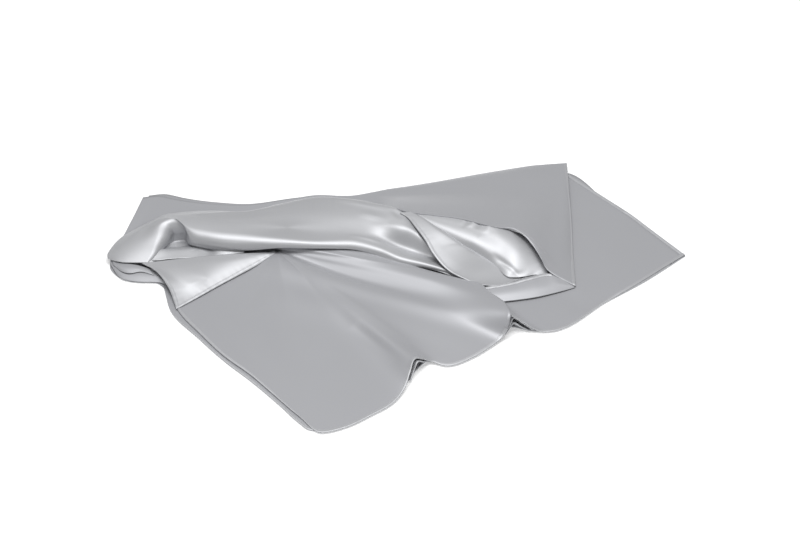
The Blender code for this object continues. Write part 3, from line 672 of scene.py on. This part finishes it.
def hem_lines(points, hem, offsets):
    """For a stretch of one edge: points on the cloth at each offset in from it, in mm, and their normals."""
    rows = sides_of(points)[hem.side][:, :HEM_REACH]
    lift = sides_of(grid_normals(points))[hem.side][:, :HEM_REACH]
    run = along_edge(rows[:, 0])
    length = run[-1] * (hem.last - hem.first)
    run = run / run[-1]
    at = np.linspace(hem.first, hem.last, int(length / HEM_PITCH))
    away = [along_edge(row) for row in rows]
    lines = []
    lifts = []
    for offset in offsets:
        inward = np.array([between(offset, *pair) for pair in zip(away, rows)])
        normal = np.array([between(offset, *pair) for pair in zip(away, lift)])
        lines.append(between(at, run, inward))
        lifts.append(between(at, run, normal))
    return np.array(lines), np.array(lifts)


def add_hem(name, points, hem):
    """A narrow turned hem wrapped round a stretch of an edge, as one closed band with a stitch ditch."""
    settings = bpy.context.scene.silk_cloth
    width = settings.hem_width / MM
    thick = settings.thickness / MM
    lines, lifts = hem_lines(points, hem, [share * width for share, _ in HEM_PROFILE])
    heights = np.array([height for _, height in HEM_PROFILE]) * (settings.hem_rise / MM)
    upper = lines + lifts * heights[:, None, None]
    lower = lines - lifts * (heights * HEM_BELOW + thick)[:, None, None]
    band = np.swapaxes(np.concatenate([upper, lower[1:][::-1]]), 0, 1)
    rows, columns = band.shape[:2]
    girth = np.linspace(0, 2 * settings.hem_width, columns)
    mesh = surface_mesh(name, band, grid_quads(rows, columns, False, closed=True),
                        along_edge(band[:, 0]) * MM, girth, [finish(SATIN)])
    middle = mesh.polygons[len(mesh.polygons) // 2]
    outwards = np.array(middle.center) - placed((lines[0] + lines[-1]) / 2)
    if np.dot(middle.normal, outwards[np.linalg.norm(outwards, axis=-1).argmin()]) < 0:
        mesh.flip_normals()
    return add_piece(name, mesh)


# One stitch, as shares of its length, its width and its rise. The length is itself a share of the pitch.
STITCH_SHAPE = [
    (-0.5, 0.0, 0.0), (-0.36, 0.5, 0.0), (0.36, 0.5, 0.0), (0.5, 0.0, 0.0), (0.36, -0.5, 0.0),
    (-0.36, -0.5, 0.0), (-0.3, 0.0, 1.0), (0.3, 0.0, 1.0),
]
STITCH_FACES = [(0, 6, 1), (1, 6, 7, 2), (2, 7, 3), (3, 7, 4), (4, 7, 6, 5), (5, 6, 0), (0, 1, 2, 3, 4, 5)]
STITCH_WIDTH = 0.35
STITCH_RISE = 0.15
STITCH_SHARE = 0.78


def add_stitches(name, points, hems):
    """A row of lock stitches in the ditch of each hem, joined as one mesh."""
    settings = bpy.context.scene.silk_cloth
    pitch = settings.stitch_length / MM
    shape = np.array(STITCH_SHAPE) * (pitch * STITCH_SHARE, STITCH_WIDTH, STITCH_RISE)
    vertices = []
    faces = []
    for hem in hems:
        lines, lifts = hem_lines(points, hem, [STITCH_AT * settings.hem_width / MM])
        line = lines[0] + lifts[0] * settings.hem_rise / MM * STITCH_SEAT
        run = along_edge(line)
        for station in np.arange(pitch, run[-1] - pitch, pitch):
            behind, here, beyond = [between(station + step, run, line) for step in (-1, 0, 1)]
            ahead = beyond - behind
            ahead /= np.linalg.norm(ahead)
            up = between(station, run, lifts[0])
            aside = np.cross(up, ahead)
            first = len(vertices)
            vertices += [here + x * ahead + y * aside + z * up for x, y, z in shape]
            faces += [[first + corner for corner in face] for face in STITCH_FACES]
    mesh = bpy.data.meshes.new(name)
    mesh.from_pydata(placed(vertices).tolist(), [], faces)
    mesh.materials.append(finish(THREAD))
    return add_piece(name, mesh)


def add_node(tree, kind, settings, **links):
    """A shader node with its settings, and its inputs set to values or linked from sockets."""
    node = tree.nodes.new(kind)
    for key, value in settings.items():
        setattr(node, key, value)
    for key, value in links.items():
        socket = node.inputs[key.replace("_", " ")]
        if isinstance(value, bpy.types.NodeSocket):
            tree.links.new(value, socket)
        else:
            socket.default_value = value
    return node


def new_material(name):
    """A new procedural material, with its tree and shader."""
    material = bpy.data.materials.new(name)
    material.use_nodes = True
    tree = material.node_tree
    return material, tree, tree.nodes["Principled BSDF"]


# The colour sockets of a mix: its two inputs and its result.
MIX_COLOUR = 6
MIX_SHADE = 7
MIX_RESULT = 2


def shade_colour(tree, shader, colour, pattern, low, high):
    """Give the shader a colour that a pattern makes a little darker and lighter."""
    shade = add_node(tree, "ShaderNodeMapRange", {}, Value=pattern.outputs["Fac"], To_Min=low, To_Max=high)
    mix = add_node(tree, "ShaderNodeMix", {"data_type": "RGBA", "blend_type": "MULTIPLY"}, Factor=1.0)
    mix.inputs[MIX_COLOUR].default_value = (*colour, 1.0)
    tree.links.new(shade.outputs["Result"], mix.inputs[MIX_SHADE])
    tree.links.new(mix.outputs[MIX_RESULT], shader.inputs["Base Color"])


# The sizes of the patterns in metres, and the silk's index of refraction.
WARP_THREAD = 0.0011
FLOAT_WIDTH_OVER_LENGTH = 0.05
CREPE_GRAIN = 0.0016
GRAIN_DEPTH = 0.00008
FACE_CLOUD = 1 / 16
BACK_CLOUD = 1 / 9
THREAD_FIBRE = 1 / 1200
FLOOR_MOTTLE = 1 / 30
SILK_IOR = 1.54


def charmeuse_face():
    """Silk charmeuse, satin woven with long warp floats and calendered: a soft metallic sheen along the warp.

    Real threads lie 0.1 mm apart, too fine to show, so the warp is drawn about ten times as coarse.
    """
    material, tree, shader = new_material(SATIN)
    uv = add_node(tree, "ShaderNodeUVMap", {"uv_map": "UVMap"})
    stretch = add_node(tree, "ShaderNodeMapping", {}, Vector=uv.outputs["UV"],
                       Scale=(1 / WARP_THREAD, FLOAT_WIDTH_OVER_LENGTH / WARP_THREAD, 1.0))
    threads = add_node(tree, "ShaderNodeTexNoise", {}, Vector=stretch.outputs["Vector"], Scale=1.0,
                       Detail=3.0, Roughness=0.6)
    cloud = add_node(tree, "ShaderNodeTexNoise", {}, Vector=uv.outputs["UV"], Scale=1 / FACE_CLOUD,
                     Detail=2.0)
    shade_colour(tree, shader, bpy.context.scene.silk_cloth.face_colour, threads, 0.97, 1.03)
    gloss = add_node(tree, "ShaderNodeMapRange", {}, Value=cloud.outputs["Fac"], To_Min=0.45, To_Max=0.52)
    bump = add_node(tree, "ShaderNodeBump", {}, Height=threads.outputs["Fac"], Strength=0.12,
                    Distance=GRAIN_DEPTH)
    tree.links.new(gloss.outputs["Result"], shader.inputs["Roughness"])
    tree.links.new(bump.outputs["Normal"], shader.inputs["Normal"])
    shader.inputs["Metallic"].default_value = 0.5
    shader.inputs["IOR"].default_value = SILK_IOR
    shader.inputs["Anisotropic"].default_value = 0.35
    return material


def charmeuse_back():
    """The crepe back of silk charmeuse, of short weft floats: dull, even and faintly pebbled.

    The crepe grain is about 0.2 mm, drawn about eight times as coarse so that it shows.
    """
    material, tree, shader = new_material(MATT)
    uv = add_node(tree, "ShaderNodeUVMap", {"uv_map": "UVMap"})
    grain = add_node(tree, "ShaderNodeTexNoise", {}, Vector=uv.outputs["UV"], Scale=1 / CREPE_GRAIN,
                     Detail=2.0)
    cloud = add_node(tree, "ShaderNodeTexNoise", {}, Vector=uv.outputs["UV"], Scale=1 / BACK_CLOUD,
                     Detail=3.0)
    shade_colour(tree, shader, bpy.context.scene.silk_cloth.back_colour, cloud, 0.97, 1.03)
    bump = add_node(tree, "ShaderNodeBump", {}, Height=grain.outputs["Fac"], Strength=0.18,
                    Distance=GRAIN_DEPTH)
    tree.links.new(bump.outputs["Normal"], shader.inputs["Normal"])
    shader.inputs["Roughness"].default_value = 0.44
    shader.inputs["Metallic"].default_value = 0.3
    shader.inputs["IOR"].default_value = SILK_IOR
    shader.inputs["Sheen Weight"].default_value = 0.15
    shader.inputs["Sheen Roughness"].default_value = 0.5
    return material


def spun_thread():
    """Fine spun polyester sewing thread: a little paler and duller than the silk that it holds."""
    material, tree, shader = new_material(THREAD)
    place = add_node(tree, "ShaderNodeTexCoord", {})
    fibres = add_node(tree, "ShaderNodeTexNoise", {}, Vector=place.outputs["Object"],
                      Scale=1 / THREAD_FIBRE)
    shade_colour(tree, shader, bpy.context.scene.silk_cloth.thread_colour, fibres, 0.9, 1.05)
    shader.inputs["Roughness"].default_value = 0.55
    return material


FINISHES = {SATIN: charmeuse_face, MATT: charmeuse_back, THREAD: spun_thread}


def finish(name):
    """A finish of the cloth by name, made once."""
    return bpy.data.materials.get(name) or FINISHES[name]()


def add_sheet(name, points):
    """One stretch of the scarf that shows: its sheet, the hems on its edges and their stitches."""
    sheet = SHEETS[name]
    points = puckered(points, [hem.side for hem in sheet.hems])
    piece = add_silk(f"{name}_cloth", points, sheet.outer, MATT if sheet.outer == SATIN else SATIN)
    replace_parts(piece, NODES.get(name, name))
    trims = [add_hem(f"{piece.name}_hem_{number}", points, hem) for number, hem in enumerate(sheet.hems, 1)]
    if sheet.hems:
        trims.append(add_stitches(f"{piece.name}_stitches", points, sheet.hems))


def add_stretch(name, sections, creases=()):
    """A sheet through the sections, eased and creased."""
    sheet = SHEETS[name]
    points = relaxed(loft(sections, sheet.along, sheet.across), sheet.passes)
    add_sheet(name, creased(points, creases))


# Points on each span of the lower layer's outline.
EDGE_STEPS = 12


class SCARF_OT_lower_layer(bpy.types.Operator):
    """Add the layer that lies on the floor"""

    bl_idname = "silk_scarf.lower_layer"
    bl_label = "Lower layer"

    def execute(self, context):
        sheet = SHEETS["lower"]
        near, far = [evenly(smooth(edge, EDGE_STEPS), sheet.along)
                     for edge in (LOWER_NEAR_EDGE, LOWER_FAR_EDGE)]
        across = np.linspace(0, 1, sheet.across)[None, :, None]
        flat = near[:, None] * (1 - across) + far[:, None] * across
        add_sheet("lower", np.concatenate([flat, np.full(flat.shape[:2] + (1,), LOWER_TOP)], axis=-1))
        return {"FINISHED"}


class SCARF_OT_right_panel(bpy.types.Operator):
    """Add the right panel that lies flat"""

    bl_idname = "silk_scarf.right_panel"
    bl_label = "Right panel"

    def execute(self, context):
        add_stretch("right_panel", [laid(section) for section in RIGHT_PANEL], RIGHT_CREASES)
        return {"FINISHED"}


class SCARF_OT_front_flap(bpy.types.Operator):
    """Add the near flap with its two waves"""

    bl_idname = "silk_scarf.front_flap"
    bl_label = "Near flap"

    def execute(self, context):
        add_stretch("front_flap", [flap_ray(hem) for hem in FLAP_EDGE], FLAP_CREASES)
        return {"FINISHED"}


class SCARF_OT_wave_layers(bpy.types.Operator):
    """Add the layers that show in the mouths of the waves"""

    bl_idname = "silk_scarf.wave_layers"
    bl_label = "Wave layers"

    def execute(self, context):
        for name, sections in WAVE_LAYERS.items():
            add_stretch(name, sections)
        return {"FINISHED"}


class SCARF_OT_left_bends(bpy.types.Operator):
    """Add the bends where the doubled cloth turns round at the left"""

    bl_idname = "silk_scarf.left_bends"
    bl_label = "Left bends"

    def execute(self, context):
        for name, sections in LEFT_BENDS.items():
            add_stretch(name, sections)
        return {"FINISHED"}


class SCARF_OT_turned_strip(bpy.types.Operator):
    """Add the satin strip turned down over the flap"""

    bl_idname = "silk_scarf.turned_strip"
    bl_label = "Turned strip"

    def execute(self, context):
        add_stretch("turned_strip", TURNED_STRIP)
        return {"FINISHED"}


class SCARF_OT_satin_roll(bpy.types.Operator):
    """Add the gathered satin roll and the fold in its hollow"""

    bl_idname = "silk_scarf.satin_roll"
    bl_label = "Satin roll"

    def execute(self, context):
        add_stretch("satin_roll", [roll_section(row) for row in SATIN_ROLL], ROLL_CREASES)
        add_stretch("hollow_fold", HOLLOW_FOLD)
        return {"FINISHED"}


class SCARF_OT_left_back(bpy.types.Operator):
    """Add the matt panel behind the roll and the layer beneath it"""

    bl_idname = "silk_scarf.left_back"
    bl_label = "Left back panel"

    def execute(self, context):
        add_stretch("left_back", LEFT_BACK)
        shares = 1 - np.linspace(0, 1, LEFT_BACK_UNDER_SECTIONS) ** 3
        under = [section + share * np.array(LEFT_BACK_UNDER_SHIFT)
                 for section, share in zip(np.array(LEFT_BACK), shares)]
        add_stretch("left_back_under", under)
        return {"FINISHED"}


class SCARF_OT_back_panel(bpy.types.Operator):
    """Add the matt panel turned back over the right end"""

    bl_idname = "silk_scarf.back_panel"
    bl_label = "Back panel"

    def execute(self, context):
        sections = [turned_under(rounded_front(section)) for section in BACK_PANEL]
        add_stretch("back_panel", sections, BACK_CREASES)
        return {"FINISHED"}


class SCARF_OT_pouch(bpy.types.Operator):
    """Add the pouch: its lining, its bulge and the lip below its rim"""

    bl_idname = "silk_scarf.pouch"
    bl_label = "Pouch"

    def execute(self, context):
        add_stretch("pouch_lining", POUCH_LINING, LINING_CREASES)
        add_stretch("pouch_bulge", POUCH_BULGE, BULGE_CREASES)
        add_stretch("pouch_lip", POUCH_LIP)
        return {"FINISHED"}


# The share of its solid's height that is kept, so that nothing of it comes up through the flap's valley.
HIDDEN_LAYERS_PRESSED = 0.45
SAME_POINT = 1e-5


class SCARF_OT_hidden_layers(bpy.types.Operator):
    """Finish the layers that don't show"""

    bl_idname = "silk_scarf.hidden_layers"
    bl_label = "Hidden layers"

    def execute(self, context):
        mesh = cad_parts["hidden_layers"].data.copy()
        form = bmesh.new()
        form.from_mesh(mesh)
        bmesh.ops.remove_doubles(form, verts=form.verts, dist=SAME_POINT)
        for vertex in form.verts:
            vertex.co.z *= HIDDEN_LAYERS_PRESSED
        layer = form.loops.layers.uv.new("UVMap")
        for face in form.faces:
            for corner in face.loops:
                corner[layer].uv = corner.vert.co.xy
        form.to_mesh(mesh)
        form.free()
        mesh.materials.clear()
        mesh.materials.append(finish(MATT))
        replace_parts(add_piece("hidden_layers_cloth", mesh), "hidden_layers")
        return {"FINISHED"}


# The camera's tilt in degrees, and the sizes and places of the studio in metres.
CAMERA_TILT = 37.5
CAMERA_DISTANCE = 3.867
FLOOR_SIZE = 40.0
FLOOR_DROP = 0.0004
SOFTBOX_BACK = 0.1
SOFTBOX_DEPTH_SHARE = 0.7


class SCARF_OT_studio(bpy.types.Operator):
    """Add the pale floor, the soft light and the camera"""

    bl_idname = "silk_scarf.studio"
    bl_label = "Studio"

    def execute(self, context):
        settings = context.scene.silk_studio
        add_floor(settings)
        add_light(context, settings)
        add_camera(context, settings)
        context.scene.view_settings.view_transform = "Standard"
        return {"FINISHED"}


def add_floor(settings):
    """A large pale sweep of painted board."""
    bpy.ops.object.select_all(action="DESELECT")
    bpy.ops.mesh.primitive_plane_add(size=FLOOR_SIZE, location=(0, 0, -FLOOR_DROP))
    floor = bpy.context.object
    floor.name = "studio_floor"
    material, tree, shader = new_material("matt_white_paint")
    place = add_node(tree, "ShaderNodeTexCoord", {})
    mottle = add_node(tree, "ShaderNodeTexNoise", {}, Vector=place.outputs["Object"],
                      Scale=1 / FLOOR_MOTTLE)
    gloss = add_node(tree, "ShaderNodeMapRange", {}, Value=mottle.outputs["Fac"], To_Min=0.85, To_Max=0.95)
    tree.links.new(gloss.outputs["Result"], shader.inputs["Roughness"])
    shader.inputs["Base Color"].default_value = (*settings.floor_colour, 1.0)
    shader.inputs["Specular IOR Level"].default_value = 0.1
    shader.inputs["Emission Color"].default_value = (1.0, 1.0, 1.0, 1.0)
    shader.inputs["Emission Strength"].default_value = settings.floor_glow
    floor.data.materials.append(material)


def add_light(context, settings):
    """A large softbox overhead, in a white room."""
    bpy.ops.object.light_add(type="AREA", location=(0, SOFTBOX_BACK, settings.softbox_height))
    softbox = context.object
    softbox.name = "overhead_softbox"
    softbox.data.shape = "RECTANGLE"
    softbox.data.size = settings.softbox_width
    softbox.data.size_y = settings.softbox_width * SOFTBOX_DEPTH_SHARE
    softbox.data.energy = settings.softbox_power
    world = bpy.data.worlds.new("white_room")
    world.use_nodes = True
    background = world.node_tree.nodes["Background"]
    background.inputs["Color"].default_value = (1.0, 1.0, 1.0, 1.0)
    background.inputs["Strength"].default_value = settings.room_light
    context.scene.world = world


def add_camera(context, settings):
    """The camera on the photograph's line of sight."""
    tilt = np.radians(CAMERA_TILT)
    away = CAMERA_DISTANCE * np.array([0, -np.cos(tilt), np.sin(tilt)])
    aim = placed((0, 0, 0))
    bpy.ops.object.camera_add(location=aim + away, rotation=(np.pi / 2 - tilt, 0, 0))
    camera = context.object
    camera.name = "camera"
    camera.data.lens = settings.lens
    camera.data.clip_start = 0.1
    camera.data.clip_end = 100.0
    context.scene.camera = camera


class SCARF_PT_panel(bpy.types.Panel):
    """The scarf's pieces and settings in the sidebar"""

    bl_label = "Silk Scarf"
    bl_idname = "SCARF_PT_panel"
    bl_space_type = "VIEW_3D"
    bl_region_type = "UI"
    bl_category = "Silk Scarf"

    def draw(self, context):
        for settings in (context.scene.silk_cloth, context.scene.silk_studio):
            for key in settings.__annotations__:
                self.layout.prop(settings, key)
        for operator in STEPS:
            self.layout.operator(operator.bl_idname)


STEPS = [
    SCARF_OT_lower_layer,
    SCARF_OT_right_panel,
    SCARF_OT_front_flap,
    SCARF_OT_wave_layers,
    SCARF_OT_left_bends,
    SCARF_OT_turned_strip,
    SCARF_OT_satin_roll,
    SCARF_OT_left_back,
    SCARF_OT_back_panel,
    SCARF_OT_pouch,
    SCARF_OT_hidden_layers,
    SCARF_OT_studio,
]
CLASSES = [ClothSettings, StudioSettings, *STEPS, SCARF_PT_panel]


def register():
    """Add the classes and their settings to Blender."""
    for one in CLASSES:
        bpy.utils.register_class(one)
    bpy.types.Scene.silk_cloth = PointerProperty(type=ClothSettings)
    bpy.types.Scene.silk_studio = PointerProperty(type=StudioSettings)


def unregister():
    """Take the classes and their settings out again."""
    del bpy.types.Scene.silk_studio
    del bpy.types.Scene.silk_cloth
    for one in reversed(CLASSES):
        bpy.utils.unregister_class(one)


def main():
    """Make every piece in order."""
    register()
    bpy.ops.object.select_all(action="DESELECT")
    for step in STEPS:
        getattr(bpy.ops.silk_scarf, step.bl_idname.removeprefix("silk_scarf."))()


if __name__ == "__main__":
    main()
